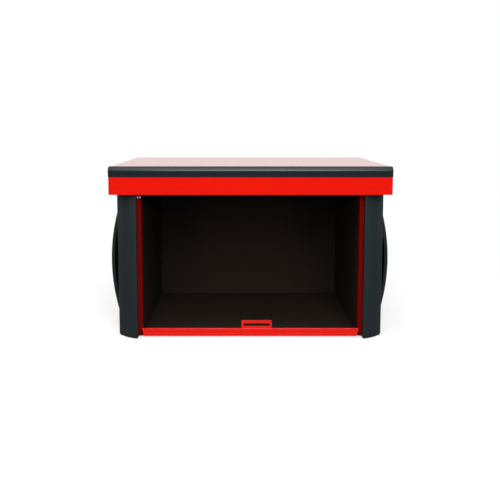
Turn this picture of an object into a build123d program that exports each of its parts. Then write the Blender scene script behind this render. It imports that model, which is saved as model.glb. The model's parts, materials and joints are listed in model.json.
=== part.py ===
from build123d import *
import os
from math import atan2, cos, degrees, hypot, radians, sin

os.makedirs("parts", exist_ok=True)

# Open-fronted steel tool chest with a lift-up lid.
# X runs across the chest, Y from the front to the back, and Z up, all in millimetres.
# The origin is on the ground, under the middle of the whole chest.

# Lid and overall size
WIDTH = 702.0
DEPTH = 445.0
HEIGHT = 438.0
FRONT = -DEPTH / 2
BACK = DEPTH / 2
LID_SKIRT = 70.0
LID_SHEET = 1.5
LID_LOW = HEIGHT - LID_SKIRT
LID_TOP = HEIGHT - 1.4
LID_UNDER = LID_TOP - LID_SHEET
LID_HALF = WIDTH / 2 - 0.7
LID_FRONT = FRONT + 3.0
LID_BEND = 8.0

# Front edge trim of the lid
TRIM_LOW = HEIGHT - 26.0
TRIM_LIP = 17.0
TRIM_NOSE = 11.0
TRIM_MID = HEIGHT - TRIM_NOSE
TRIM_CREASE = 0.8
TRIM_DRAFT = 0.8
TRIM_LIP_EASE = (2.0, 0.5)
TRIM_FOOT_EASE = (0.6, 1.0)
TRIM_CAP = 16.0
TRIM_JOINT = 0.4
TRIM_HALF = WIDTH / 2 - TRIM_CAP

# Hat section under the lid
HAT_HALF = 300.0
HAT_DEEP = 12.0
HAT_BACK = 30.0
HAT_RIM = 18.0
HAT_SLANT = 6.0
HAT_WIDE = 80.0

# Steel body
SHEET = 1.2
BODY_LOW = 3.4
BODY_HIGH = 430.0
SIDE_OUT = 333.0
SIDE_IN = SIDE_OUT - SHEET
BACK_OUT = 213.0
BACK_IN = BACK_OUT - SHEET
SHELF_LOW = 369.0

# Opening at the front
STILE_FACE = FRONT + 25.0
STILE_EDGE = 273.5
STILE_BEND = 306.0
STILE_RETURN = 17.0
CORNER_BACK = FRONT + 54.5
CORNER_LAP = 18.0
RAIL_HIGH = 23.0
RAIL_HALF = 276.0
RAIL_RETURN = 5.0
RAIL_HEM = 8.6
RAIL_HEM_PROUD = 1.0
RAIL_FACE = STILE_FACE - SHEET
RAIL_ROUND = 1.0
NOTCH_WIDE = 6.0
NOTCH_TALL = 11.0
TOP_RAIL_HALF = 284.0
TOP_RAIL_FACE = FRONT + 12.0
REAR_ANGLE = 16.0
WALL_IN = STILE_EDGE + SHEET
CORNER_GAP = 1.0
RUNNER_SLOTS = 6
RUNNER_STEP = 55.0
RUNNER_REACH = 300.0
RUNNER_SLOT = (14.0, 4.0)

# Slotted tab on the bottom rail
TAB_WIDE = 77.5
TAB_HIGH = 43.8
TAB_LOW = 10.0
TAB_SHEET = 1.5
TAB_MIDDLE = 16.3
TAB_SLOT_WIDE = 67.0
TAB_SLOT_TALL = 7.0
TAB_SLOT_MIDDLE = 32.4
TAB_SLOT_CORNER = 2.0
TAB_CORNER = 3.0
TAB_FIT = 0.5

# Moulded corner posts
POST_WALL = 6.0
POST_OUT = SIDE_OUT + POST_WALL
POST_INNER = 285.0
POST_FACE = FRONT + 10.0
POST_BULGE = (313.0, FRONT + 22.5)
POST_TURN = FRONT + 48.0
POST_TAIL = FRONT + 105.0
POST_HIGH = 427.0
POST_FOOT = 12.0
POST_ROUND = 3.0
POST_EDGE_ROUND = 4.0
POST_TURN_ROUND = 12.0
POST_HOLLOW_BULGE = (-1.8, 3.2)
POST_HOLLOW_TURN = 2.5
PAD_REACH = 32.0
POST_RIVET_INSET = 14.0
REAR_POST_START = 128.0
REAR_POST_ROUND = 14.0
REAR_POST_WRAP = 38.0
REAR_POST_BACK = BACK_OUT + POST_WALL

# Moulded side grips
GRIP_RADIUS = 500.0
GRIP_PROUD = 36.0
GRIP_MIDDLE = 178.0
GRIP_TALL = 338.0
GRIP_FRONT = FRONT + 118.0
GRIP_LONG = 174.5
GRIP_WALL = 5.0
GRIP_BASE = 3.0
GRIP_ROUND = 3.0
GRIP_CORNER = 30.0
GRIP_POCKET_HALF = 110.0
GRIP_UNDERCUT = 12.0
GRIP_TURN = 26.0
GRIP_SCREW_SPOTS = ((22.0, -80.0), (22.0, 80.0), (84.0, -80.0), (84.0, 80.0))
GRIP_CURVE = (GRIP_PROUD**2 + GRIP_LONG**2) / (2 * GRIP_PROUD)
GRIP_CENTRE_X = SIDE_OUT + GRIP_PROUD - GRIP_CURVE

# Hinge along the back of the lid
HINGE_HALF = 300.0
HINGE_KNUCKLES = 15
HINGE_BARREL = 3.4
HINGE_PIN = 1.8
HINGE_FIT = 0.05
HINGE_GAP = 0.5
HINGE_CLEAR = 0.3
HINGE_LEAF = 1.5
HINGE_REACH = 28.0
HINGE_ROOM = 0.4
HINGE_Y = BACK_OUT + HINGE_CLEAR + HINGE_BARREL
HINGE_Z = LID_UNDER - HINGE_BARREL
HINGE_RIVET_Z = HINGE_Z - 18.48
HINGE_RIVET_SHANK = 2.0
HINGE_RIVET_HEAD = 3.6
HINGE_RIVET_HIGH = 1.4
HINGE_RIVET_TAPER = 25.0
KNUCKLE = 2 * HINGE_HALF / HINGE_KNUCKLES

# Gas struts in the top till
STRUT_X = 318.0
STRUT_FOOT = (10.0, 388.0)
STRUT_HEAD = (HINGE_Y - 46.7, HINGE_Z - 15.7)
STRUT_TUBE = 9.0
STRUT_TUBE_WALL = 1.5
STRUT_TUBE_START = 11.0
STRUT_TUBE_LONG = 121.0
STRUT_TUBE_ROUND = 1.5
STRUT_TUBE_BASE = 4.0
STRUT_MOUTH_START = 10.0
STRUT_GUIDE = 10.0
STRUT_ROD = 4.0
STRUT_PISTON_START = 28.0
STRUT_PISTON_LONG = 8.0
STRUT_EYE = 8.0
STRUT_EYE_WIDE = 10.0
STRUT_STUD = 3.5
STRUT_FIT = 0.05
STRUT_GAP = 0.3
EYE_LOW = STRUT_X - STRUT_EYE_WIDE / 2
EYE_HIGH = STRUT_X + STRUT_EYE_WIDE / 2

# Brackets that carry the gas struts
BRACKET_SHEET = 2.0
BRACKET_WIDE = 40.0
BRACKET_TALL = 26.0
BRACKET_CORNER = 4.0
BRACKET_COLLAR = 2.5
BRACKET_CLIP = 2.0
LID_PLATE_X = EYE_HIGH + 3.3
LID_PLATE_HALF = 14.0
LID_PLATE_DROP = 10.0
LID_PLATE_FOLD = 18.0
STUD_PROUD = 3.0

# Small fasteners
RIVET_HEAD = 5.5
RIVET_HIGH = 1.8
RIVET_SHANK = 2.4
RIVET_TAPER = 35.0
HOLE_FIT = 0.1
STILE_RIVET = 2.3
STILE_RIVET_HIGH = 1.6
STILE_RIVET_TAPER = 20.0
STILE_RIVET_X = (-STILE_EDGE - 2.8, -STILE_EDGE - 8.8)
STILE_RIVET_Z = 359.5
RIVET_HEIGHTS = (40.0, 205.0, 345.0)
BUFFER_ROUND = 5.0
BUFFER_EDGE = 1.5
BUFFER_GAP = 0.4
BUFFER_FRONT = (250.0, (TOP_RAIL_FACE + STILE_FACE) / 2)
BUFFER_REAR = (316.0, BACK_IN - REAR_ANGLE / 2)


def write(piece, node):
    """Name a finished piece and write it as its own STEP file."""
    piece.part.label = node
    export_step(piece.part, f"parts/{node}.step")


def write_pair(right, node):
    """Write a right-hand piece, and its mirror image as the left-hand one."""
    with BuildPart() as left:
        mirror(right.part, about=Plane.YZ)
    write(left, f"{node}_left")
    write(right, f"{node}_right")


def block(low, high, mode=Mode.ADD):
    """A plain block between two opposite corners, for use inside a BuildPart."""
    size = [high[axis] - low[axis] for axis in range(3)]
    middle = [(high[axis] + low[axis]) / 2 for axis in range(3)]
    with Locations(tuple(middle)):
        Box(size[0], size[1], size[2], mode=mode)


def flat_sheet():
    """The floor's outline, which the shelf shares: a rectangle with the two front corners off."""
    front = STILE_FACE + 2 * SHEET
    slant = CORNER_BACK + CORNER_LAP + CORNER_GAP
    right = [(STILE_BEND - SHEET, front), (SIDE_IN, slant), (SIDE_IN, BACK_IN)]
    left = [(-x, y) for x, y in reversed(right)]
    with BuildLine() as outline:
        Polyline(*left, *right, close=True)
    return outline.edges()


def rivet_spots():
    """Heights and depths of the push rivets that hold the posts, on the right side."""
    front = POST_TAIL - POST_RIVET_INSET
    rear = REAR_POST_START + POST_RIVET_INSET
    return [(y, z) for y in (front, rear) for z in RIVET_HEIGHTS]


def grip_spots():
    """Depths and heights of the screws that hold a side grip, in its pocket floor."""
    return [(GRIP_FRONT + back, GRIP_MIDDLE + up) for back, up in GRIP_SCREW_SPOTS]


def cross_holes(spots, radius, x_low, x_high):
    """Bores along X through the spots, given as (Y, Z) pairs."""
    with BuildSketch(Plane.YZ.offset(x_low)) as holes:
        with Locations(*spots):
            Circle(radius)
    extrude(holes.sketch, amount=x_high - x_low, mode=Mode.SUBTRACT)


# Floor of the chest, a flat steel sheet between the side panels
with BuildPart() as floor_pan:
    with BuildSketch(Plane.XY.offset(BODY_LOW)):
        make_face(flat_sheet())
    extrude(amount=SHEET)
write(floor_pan, "floor_pan")

# Shelf that closes the bay and makes the floor of the top till
with BuildPart() as till_shelf:
    with BuildSketch(Plane.XY.offset(SHELF_LOW)):
        make_face(flat_sheet())
    extrude(amount=SHEET)
write(till_shelf, "till_shelf")

# Back panel
with BuildPart() as back_panel:
    block((-SIDE_IN, BACK_IN, BODY_LOW), (SIDE_IN, BACK_OUT, BODY_HIGH))
write(back_panel, "back_panel")

# Angle that stiffens the top of the back panel and carries the hinge
with BuildPart() as rear_top_rail:
    block((-SIDE_IN, BACK_IN - REAR_ANGLE, BODY_HIGH - SHEET), (SIDE_IN, BACK_IN, BODY_HIGH))
    block((-SIDE_IN, BACK_IN - SHEET, BODY_HIGH - REAR_ANGLE), (SIDE_IN, BACK_IN, BODY_HIGH))
write(rear_top_rail, "rear_top_rail")

# Outer side panel, drilled for the post rivets and the grip screws
with BuildPart() as side_panel:
    block((SIDE_IN, CORNER_BACK, BODY_LOW), (SIDE_OUT, BACK_OUT, BODY_HIGH))
    cross_holes(rivet_spots() + grip_spots(), RIVET_SHANK + HOLE_FIT, SIDE_IN - 1, SIDE_OUT + 1)
write_pair(side_panel, "side_panel")

# Inner wall beside the bay, with two columns of slots where drawer runners hook in
with BuildPart() as inner_wall:
    block(
        (WALL_IN, STILE_FACE + 2 * SHEET, BODY_LOW + SHEET),
        (WALL_IN + SHEET, BACK_IN, SHELF_LOW),
    )
    with BuildSketch(Plane.YZ.offset(WALL_IN - 1)):
        with GridLocations(RUNNER_REACH, RUNNER_STEP, 2, RUNNER_SLOTS):
            with Locations((0, (SHELF_LOW + BODY_LOW) / 2)):
                SlotOverall(*RUNNER_SLOT)
    extrude(amount=SHEET + 2, mode=Mode.SUBTRACT)
write_pair(inner_wall, "inner_wall")

# Front stile: one folded sheet from the edge of the opening round to the side panel
with BuildPart() as front_stile:
    with BuildSketch(Plane.XY.offset(BODY_LOW)):
        with BuildLine():
            fold = Polyline(
                (STILE_EDGE, STILE_FACE + STILE_RETURN),
                (STILE_EDGE, STILE_FACE),
                (STILE_BEND, STILE_FACE),
                (SIDE_IN, CORNER_BACK),
                (SIDE_IN, CORNER_BACK + CORNER_LAP - 1),
            )
            offset(fold, amount=SHEET, side=Side.LEFT, kind=Kind.INTERSECTION)
        make_face()
    extrude(amount=BODY_HIGH - BODY_LOW)
    # The return at the opening stops under the till shelf, and the shelf passes through.
    block(
        (STILE_EDGE - 1, STILE_FACE + SHEET, SHELF_LOW - 0.2),
        (STILE_EDGE + SHEET + 0.1, STILE_FACE + STILE_RETURN + 1, BODY_HIGH + 1),
        mode=Mode.SUBTRACT,
    )
    block(
        (STILE_EDGE - 1, STILE_FACE - 1, BODY_LOW - 1),
        (STILE_EDGE + NOTCH_WIDE, STILE_FACE + STILE_RETURN + 1, BODY_LOW + NOTCH_TALL),
        mode=Mode.SUBTRACT,
    )
write_pair(front_stile, "front_stile")

# Top front rail: a shallow pan behind the lid's front flange, open at its back
with BuildPart() as top_front_rail:
    block(
        (-TOP_RAIL_HALF, TOP_RAIL_FACE, SHELF_LOW),
        (TOP_RAIL_HALF, STILE_FACE, BODY_HIGH),
    )
    block(
        (-TOP_RAIL_HALF + SHEET, TOP_RAIL_FACE + SHEET, SHELF_LOW + SHEET),
        (TOP_RAIL_HALF - SHEET, STILE_FACE + 1, BODY_HIGH - SHEET),
        mode=Mode.SUBTRACT,
    )
    front_edges = top_front_rail.edges().filter_by(Axis.X).group_by(Axis.Y)[0]
    fillet(front_edges, radius=RAIL_ROUND)
write(top_front_rail, "top_front_rail")

# Bottom front rail, with a folded hem along its foot and a return along its top
with BuildPart() as bottom_front_rail:
    with BuildSketch(Plane.YZ.offset(-RAIL_HALF)):
        with BuildLine():
            Polyline(
                (STILE_FACE, BODY_LOW),
                (RAIL_FACE - RAIL_HEM_PROUD, BODY_LOW),
                (RAIL_FACE - RAIL_HEM_PROUD, BODY_LOW + RAIL_HEM),
                (RAIL_FACE, BODY_LOW + RAIL_HEM + RAIL_HEM_PROUD),
                (RAIL_FACE, RAIL_HIGH),
                (STILE_FACE, RAIL_HIGH),
                close=True,
            )
        make_face()
    extrude(amount=2 * RAIL_HALF)
    block(
        (-STILE_EDGE + 0.5, STILE_FACE - SHEET / 2, RAIL_HIGH - SHEET),
        (STILE_EDGE - 0.5, STILE_FACE + RAIL_RETURN, RAIL_HIGH),
    )
    top_edges = bottom_front_rail.edges().filter_by(Axis.X).group_by(Axis.Y)[1]
    fillet(top_edges.sort_by(Axis.Z)[-1], radius=RAIL_ROUND)
    # Relief cuts at the lower corners
    with BuildSketch(Plane.XZ.offset(-RAIL_FACE + 5)):
        with BuildLine():
            Polyline(
                (RAIL_HALF + 1, BODY_LOW - 1),
                (RAIL_HALF - NOTCH_WIDE, BODY_LOW - 1),
                (RAIL_HALF - 1, BODY_LOW + NOTCH_TALL),
                (RAIL_HALF + 1, BODY_LOW + NOTCH_TALL),
                close=True,
            )
        make_face()
        mirror(about=Plane.YZ)
    extrude(amount=-12, mode=Mode.SUBTRACT)
    # The slotted tab stands up through the return.
    room = TAB_WIDE / 2 + TAB_FIT
    block(
        (TAB_MIDDLE - room, STILE_FACE, RAIL_HIGH - SHEET - 1),
        (TAB_MIDDLE + room, STILE_FACE + TAB_SHEET + 0.3, RAIL_HIGH + 1),
        mode=Mode.SUBTRACT,
    )
write(bottom_front_rail, "bottom_front_rail")

# Slotted tab, welded to the back of the bottom rail and standing above it
with BuildPart() as hasp_tab:
    with BuildSketch(Plane.XZ.offset(-STILE_FACE)):
        with Locations((TAB_MIDDLE, (TAB_LOW + TAB_HIGH) / 2)):
            Rectangle(TAB_WIDE, TAB_HIGH - TAB_LOW)
        fillet(vertices().group_by(Axis.Y)[-1], radius=TAB_CORNER)
        with Locations((TAB_MIDDLE, TAB_SLOT_MIDDLE)):
            RectangleRounded(TAB_SLOT_WIDE, TAB_SLOT_TALL, TAB_SLOT_CORNER, mode=Mode.SUBTRACT)
    extrude(amount=-TAB_SHEET)
write(hasp_tab, "hasp_tab")

# Two small rivets at the top of the left stile
with BuildPart() as stile_rivets:
    for x in STILE_RIVET_X:
        with BuildSketch(Plane.XZ.offset(-STILE_FACE)):
            with Locations((x, STILE_RIVET_Z)):
                Circle(STILE_RIVET)
        extrude(amount=STILE_RIVET_HIGH, taper=STILE_RIVET_TAPER)
write(stile_rivets, "stile_rivets")

# Front corner post: a curved front face, a short cheek and a leg along the side


def post_section(inside):
    """The post's section: its outer face, closed by the points inside, from leg to cheek."""
    with BuildSketch() as section:
        with BuildLine():
            Polyline((POST_OUT, POST_TURN), (POST_OUT, POST_TAIL), *inside)
            Line(inside[-1], (POST_INNER, POST_FACE))
            ThreePointArc((POST_INNER, POST_FACE), POST_BULGE, (POST_OUT, POST_TURN))
        make_face()
        corners = section.vertices()
        ridge = corners.filter_by_position(Axis.Y, POST_FACE - 0.1, POST_FACE + 0.1)
        turn = corners.filter_by_position(Axis.Y, POST_TURN - 0.1, POST_TURN + 0.1)
        fillet(ridge, radius=POST_EDGE_ROUND)
        fillet(turn.sort_by(Axis.X)[-1], radius=POST_TURN_ROUND)
    return section.sketch


with BuildPart() as front_post:
    leg = [(SIDE_OUT, POST_TAIL), (SIDE_OUT, POST_TURN + POST_HOLLOW_TURN)]
    behind_bulge = (POST_BULGE[0] + POST_HOLLOW_BULGE[0], POST_BULGE[1] + POST_HOLLOW_BULGE[1])
    behind_ridge = (POST_INNER + POST_WALL, POST_FACE + POST_WALL)
    cheek = [(POST_INNER + POST_WALL, STILE_FACE), (POST_INNER, STILE_FACE)]
    extrude(post_section(leg + [behind_bulge, behind_ridge] + cheek), amount=POST_HIGH)
    # A solid foot fills the space in front of the folded stile.
    stile_side = [(SIDE_OUT, POST_TAIL), (SIDE_OUT, CORNER_BACK), (STILE_BEND, STILE_FACE)]
    extrude(post_section(stile_side + [(POST_INNER, STILE_FACE)]), amount=POST_FOOT)
    # A pad under the steel corner carries the chest.
    pad_x = SIDE_OUT - PAD_REACH
    pad_y = STILE_FACE + PAD_REACH / 2
    pad_side = [(pad_x, POST_TAIL), (pad_x, pad_y), (POST_INNER, pad_y)]
    extrude(post_section(pad_side), amount=BODY_LOW)
    cross_holes(rivet_spots()[:3], RIVET_SHANK + HOLE_FIT, SIDE_OUT - 1, POST_OUT + 1)
    foot_edges = front_post.edges().group_by(Axis.Z)[0]
    front_rim = foot_edges.filter_by(GeomType.CIRCLE)
    side_rim = foot_edges.filter_by_position(Axis.X, POST_OUT - 0.1, POST_OUT + 0.1)
    cheek_rim = foot_edges.filter_by_position(Axis.X, POST_INNER - 0.1, POST_INNER + 0.1)
    fillet(front_rim + side_rim + cheek_rim, radius=POST_ROUND)
write_pair(front_post, "front_post")

# Rear corner post, a plain rounded corner
with BuildPart() as rear_post:
    with BuildSketch(Plane.XY):
        with BuildLine():
            Polyline(
                (POST_OUT - REAR_POST_WRAP, REAR_POST_BACK),
                (POST_OUT, REAR_POST_BACK),
                (POST_OUT, REAR_POST_START),
                (SIDE_OUT, REAR_POST_START),
                (SIDE_OUT, BACK_OUT),
                (POST_OUT - REAR_POST_WRAP, BACK_OUT),
                close=True,
            )
        make_face()
        outer_corner = vertices().group_by(Axis.X)[-1].sort_by(Axis.Y)[-1]
        fillet(outer_corner, radius=REAR_POST_ROUND)
    extrude(amount=POST_HIGH)
    block(
        (SIDE_OUT - PAD_REACH, REAR_POST_START, 0),
        (SIDE_OUT, BACK_OUT, BODY_LOW),
    )
    cross_holes(rivet_spots()[3:], RIVET_SHANK + HOLE_FIT, SIDE_OUT - 1, POST_OUT + 1)
write_pair(rear_post, "rear_post")

# Side grip: a bowed shell with a pocket that is open to the front
GRIP_AXIS = Axis((SIDE_OUT + GRIP_PROUD - GRIP_RADIUS, 0, GRIP_MIDDLE), (0, 1, 0))


def grip_reach(radius, x):
    """How far back the grip's plan arc of this radius reaches at x."""
    return GRIP_FRONT + (radius**2 - (x - GRIP_CENTRE_X) ** 2) ** 0.5


def grip_bow(shrink, floor_x, half_tall, corner):
    """A bowed solid: the plan arc, drawn in by shrink, turned about the far axis.
    Seen from the side, a rectangle with two rounded front corners cuts it to size."""
    radius = GRIP_CURVE - shrink
    crown_x = GRIP_CENTRE_X + radius
    low_x = SIDE_OUT - GRIP_UNDERCUT
    middle_x = (crown_x + low_x) / 2
    with BuildPart() as bow:
        with BuildSketch(Plane.XY.offset(GRIP_MIDDLE)):
            with BuildLine():
                Line((low_x, grip_reach(radius, low_x)), (low_x, GRIP_FRONT))
                Line((low_x, GRIP_FRONT), (crown_x, GRIP_FRONT))
                ThreePointArc(
                    (crown_x, GRIP_FRONT),
                    (middle_x, grip_reach(radius, middle_x)),
                    (low_x, grip_reach(radius, low_x)),
                )
            make_face()
        revolve(axis=GRIP_AXIS, revolution_arc=GRIP_TURN)
        mirror(about=Plane.XY.offset(GRIP_MIDDLE))
        with BuildSketch(Plane.YZ.offset(floor_x)) as outline:
            with Locations((GRIP_FRONT + GRIP_LONG, GRIP_MIDDLE)):
                Rectangle(2 * GRIP_LONG, 2 * half_tall)
            fillet(outline.vertices().group_by(Axis.X)[0], radius=corner)
        extrude(outline.sketch, amount=crown_x - floor_x + 1, mode=Mode.INTERSECT)
    return bow


grip_outer = grip_bow(0.0, SIDE_OUT, GRIP_TALL / 2, GRIP_CORNER)
grip_inner = grip_bow(GRIP_WALL, SIDE_OUT + GRIP_BASE, GRIP_POCKET_HALF, GRIP_ROUND)
with BuildPart() as side_grip:
    add(grip_outer.part)
    end_curves = side_grip.edges().filter_by(GeomType.BSPLINE)
    end_curves = [edge for edge in end_curves if edge.center().X > SIDE_OUT + GRIP_BASE]
    fillet(end_curves, radius=GRIP_ROUND)
    add(grip_inner.part, mode=Mode.SUBTRACT)
    cross_holes(grip_spots(), RIVET_SHANK + HOLE_FIT, SIDE_OUT - 1, SIDE_OUT + GRIP_BASE + 1)
write_pair(side_grip, "side_grip")


def cross_rivets(spots, face_x, shank_low):
    """Rivets along X on both sides: a low head on face_x and a shank down to shank_low."""
    with BuildSketch(Plane.YZ.offset(shank_low)) as shanks:
        with Locations(*spots):
            Circle(RIVET_SHANK)
    extrude(shanks.sketch, amount=face_x - shank_low)
    with BuildSketch(Plane.YZ.offset(face_x)) as heads:
        with Locations(*spots):
            Circle(RIVET_HEAD)
    extrude(heads.sketch, amount=RIVET_HIGH, taper=RIVET_TAPER)
    mirror(about=Plane.YZ)


# Push rivets that hold the four posts, as one group of separate solids
with BuildPart() as post_rivets:
    cross_rivets(rivet_spots(), POST_OUT, SIDE_IN - 1.0)
write(post_rivets, "post_rivets")

# Screws in the pocket floors that hold the two grips
with BuildPart() as grip_screws:
    cross_rivets(grip_spots(), SIDE_OUT + GRIP_BASE, SIDE_IN - 1.0)
write(grip_screws, "grip_screws")

# Rubber buffers under the lid, on the front and rear rails
with BuildPart() as lid_buffers:
    with BuildSketch(Plane.XY.offset(BODY_HIGH)):
        with Locations(BUFFER_FRONT, BUFFER_REAR):
            Circle(BUFFER_ROUND)
        mirror(about=Plane.YZ)
    extrude(amount=LID_UNDER - BODY_HIGH - BUFFER_GAP)
    fillet(lid_buffers.edges().group_by(Axis.Z)[-1], radius=BUFFER_EDGE)
write(lid_buffers, "lid_buffers")

# Hinge: knuckles of the two leaves take turns along one pin
KNUCKLE_STARTS = [-HINGE_HALF + KNUCKLE * count for count in range(HINGE_KNUCKLES)]
HINGE_LINE = Plane((0, HINGE_Y, HINGE_Z), x_dir=(0, 1, 0), z_dir=(1, 0, 0))
HINGE_RIVETS = [(start + KNUCKLE / 2, HINGE_RIVET_Z) for start in KNUCKLE_STARTS[::2]]


def knuckles(first):
    """Every second hinge barrel, starting with the one at index first."""
    for start in KNUCKLE_STARTS[first::2]:
        with BuildSketch(HINGE_LINE.offset(start + HINGE_GAP / 2)) as barrel:
            Circle(HINGE_BARREL)
        extrude(barrel.sketch, amount=KNUCKLE - HINGE_GAP)


def hinge_bores(first):
    """The pin's bore, and room round the other leaf's barrels."""
    with BuildSketch(HINGE_LINE.offset(-HINGE_HALF - 1)) as bore:
        Circle(HINGE_PIN + HINGE_FIT)
    extrude(bore.sketch, amount=2 * HINGE_HALF + 2, mode=Mode.SUBTRACT)
    for start in KNUCKLE_STARTS[first::2]:
        with BuildSketch(HINGE_LINE.offset(start - HINGE_GAP / 2)) as room:
            Circle(HINGE_BARREL + HINGE_ROOM)
        extrude(room.sketch, amount=KNUCKLE + HINGE_GAP, mode=Mode.SUBTRACT)


with BuildPart() as hinge_body_leaf:
    block((-HINGE_HALF, BACK_OUT, HINGE_Z - HINGE_REACH), (HINGE_HALF, BACK_OUT + HINGE_LEAF, HINGE_Z))
    knuckles(0)
    hinge_bores(1)
    with BuildSketch(Plane.XZ.offset(-BACK_OUT - HINGE_LEAF - 1)):
        with Locations(*HINGE_RIVETS):
            Circle(HINGE_RIVET_SHANK + HOLE_FIT)
    extrude(amount=HINGE_LEAF + 2, mode=Mode.SUBTRACT)
write(hinge_body_leaf, "hinge_body_leaf")

with BuildPart() as hinge_lid_leaf:
    block(
        (-HINGE_HALF, HINGE_Y - HINGE_REACH, LID_UNDER - HINGE_LEAF),
        (HINGE_HALF, HINGE_Y, LID_UNDER),
    )
    knuckles(1)
    hinge_bores(0)
write(hinge_lid_leaf, "hinge_lid_leaf")

with BuildPart() as hinge_pin:
    with BuildSketch(HINGE_LINE.offset(-HINGE_HALF - 1)):
        Circle(HINGE_PIN)
    extrude(amount=2 * HINGE_HALF + 2)
write(hinge_pin, "hinge_pin")

# Rivets through the body leaf of the hinge, with low heads at the back
with BuildPart() as hinge_rivets:
    with BuildSketch(Plane.XZ.offset(-BACK_OUT - HINGE_LEAF)):
        with Locations(*HINGE_RIVETS):
            Circle(HINGE_RIVET_HEAD)
    extrude(amount=-HINGE_RIVET_HIGH, taper=HINGE_RIVET_TAPER)
    with BuildSketch(Plane.XZ.offset(-BACK_OUT - HINGE_LEAF)):
        with Locations(*HINGE_RIVETS):
            Circle(HINGE_RIVET_SHANK)
    extrude(amount=HINGE_LEAF)
write(hinge_rivets, "hinge_rivets")

# Lid: a pan with flanges at the front and the two sides, and a soft bend along its front


def lid_bend(skin):
    """Where the lid's top sheet turns down into the front flange, skin inside the outer face."""
    with BuildLine() as bend:
        RadiusArc(
            (LID_FRONT + LID_BEND, LID_TOP - skin),
            (LID_FRONT + skin, LID_TOP - LID_BEND),
            -(LID_BEND - skin),
        )
    return bend


with BuildPart() as lid_pan:
    with BuildSketch(Plane.YZ.offset(-LID_HALF)):
        with BuildLine():
            add(lid_bend(0).line)
            add(lid_bend(LID_SHEET).line)
            Polyline((LID_FRONT + LID_BEND, LID_TOP), (BACK, LID_TOP), (BACK, LID_UNDER))
            Line((BACK, LID_UNDER), (LID_FRONT + LID_BEND, LID_UNDER))
            Polyline(
                (LID_FRONT, LID_TOP - LID_BEND),
                (LID_FRONT, LID_LOW),
                (LID_FRONT + LID_SHEET, LID_LOW),
                (LID_FRONT + LID_SHEET, LID_TOP - LID_BEND),
            )
        make_face()
    extrude(amount=2 * LID_HALF)
    for start in (-LID_HALF, LID_HALF - LID_SHEET):
        with BuildSketch(Plane.YZ.offset(start)):
            with BuildLine():
                add(lid_bend(0).line)
                Polyline(
                    (LID_FRONT + LID_BEND, LID_TOP),
                    (BACK, LID_TOP),
                    (BACK, LID_LOW),
                    (LID_FRONT, LID_LOW),
                    (LID_FRONT, LID_TOP - LID_BEND),
                )
            make_face()
        extrude(amount=LID_SHEET)
    flange_edges = lid_pan.edges().group_by(Axis.Y)[0].filter_by(Axis.Z)
    fillet(flange_edges, radius=LID_SHEET * 0.9)
write(lid_pan, "lid_pan")

# Plastic trim round the lid's front top edge: a bullnose above a plain lower face


def trim_outline():
    """The trim's section, in Y and Z, wrapped over the bend of the lid."""
    with BuildLine() as outline:
        add(lid_bend(0).line)
        Polyline(
            (LID_FRONT + LID_BEND, LID_TOP),
            (FRONT + TRIM_LIP, LID_TOP),
            (FRONT + TRIM_LIP, HEIGHT - TRIM_LIP_EASE[1]),
            (FRONT + TRIM_LIP - TRIM_LIP_EASE[0], HEIGHT),
            (FRONT + TRIM_NOSE, HEIGHT),
        )
        RadiusArc((FRONT + TRIM_NOSE, HEIGHT), (FRONT, TRIM_MID), -TRIM_NOSE)
        low_face = FRONT + TRIM_CREASE + TRIM_DRAFT
        Polyline(
            (FRONT, TRIM_MID),
            (FRONT + TRIM_CREASE, TRIM_MID - TRIM_CREASE),
            (low_face, TRIM_LOW + TRIM_FOOT_EASE[1]),
            (low_face + TRIM_FOOT_EASE[0], TRIM_LOW),
            (LID_FRONT, TRIM_LOW),
            (LID_FRONT, LID_TOP - LID_BEND),
        )
    return outline


with BuildPart() as lid_trim:
    with BuildSketch(Plane.YZ.offset(-TRIM_HALF)):
        make_face(trim_outline().edges())
    extrude(amount=2 * TRIM_HALF)
write(lid_trim, "lid_trim")

# End caps of the trim, each closed round the corner of the lid
with BuildPart() as trim_end_cap:
    with BuildSketch(Plane.YZ.offset(TRIM_HALF + TRIM_JOINT)):
        make_face(trim_outline().edges())
    extrude(amount=TRIM_CAP - TRIM_JOINT)
    block(
        (LID_HALF, LID_FRONT - 0.5, TRIM_LOW),
        (WIDTH / 2, FRONT + TRIM_LIP, HEIGHT - TRIM_LIP_EASE[1]),
    )
write_pair(trim_end_cap, "trim_end_cap")

# Hat section that stiffens the lid from below
with BuildPart() as lid_stiffener:
    front_rim = HAT_BACK - HAT_WIDE
    with BuildSketch(Plane.YZ.offset(-HAT_HALF)):
        with BuildLine():
            hat = Polyline(
                (front_rim, LID_UNDER),
                (front_rim + HAT_RIM, LID_UNDER),
                (front_rim + HAT_RIM + HAT_SLANT, LID_UNDER - HAT_DEEP),
                (HAT_BACK - HAT_RIM - HAT_SLANT, LID_UNDER - HAT_DEEP),
                (HAT_BACK - HAT_RIM, LID_UNDER),
                (HAT_BACK, LID_UNDER),
            )
            offset(hat, amount=SHEET, side=Side.RIGHT, kind=Kind.INTERSECTION)
        make_face()
    extrude(amount=2 * HAT_HALF)
write(lid_stiffener, "lid_stiffener")

# Gas struts: each lies in an upright plane beside the till wall
STRUT_RUN = hypot(STRUT_HEAD[0] - STRUT_FOOT[0], STRUT_HEAD[1] - STRUT_FOOT[1])
STRUT_RISE = degrees(atan2(STRUT_HEAD[1] - STRUT_FOOT[1], STRUT_HEAD[0] - STRUT_FOOT[0]))
STRUT_WAY = (0, cos(radians(STRUT_RISE)), sin(radians(STRUT_RISE)))
STRUT_LINE = Plane((STRUT_X, *STRUT_FOOT), x_dir=(1, 0, 0), z_dir=STRUT_WAY)
print("strut length closed", round(STRUT_RUN, 3), "rise", round(STRUT_RISE, 3))


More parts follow.
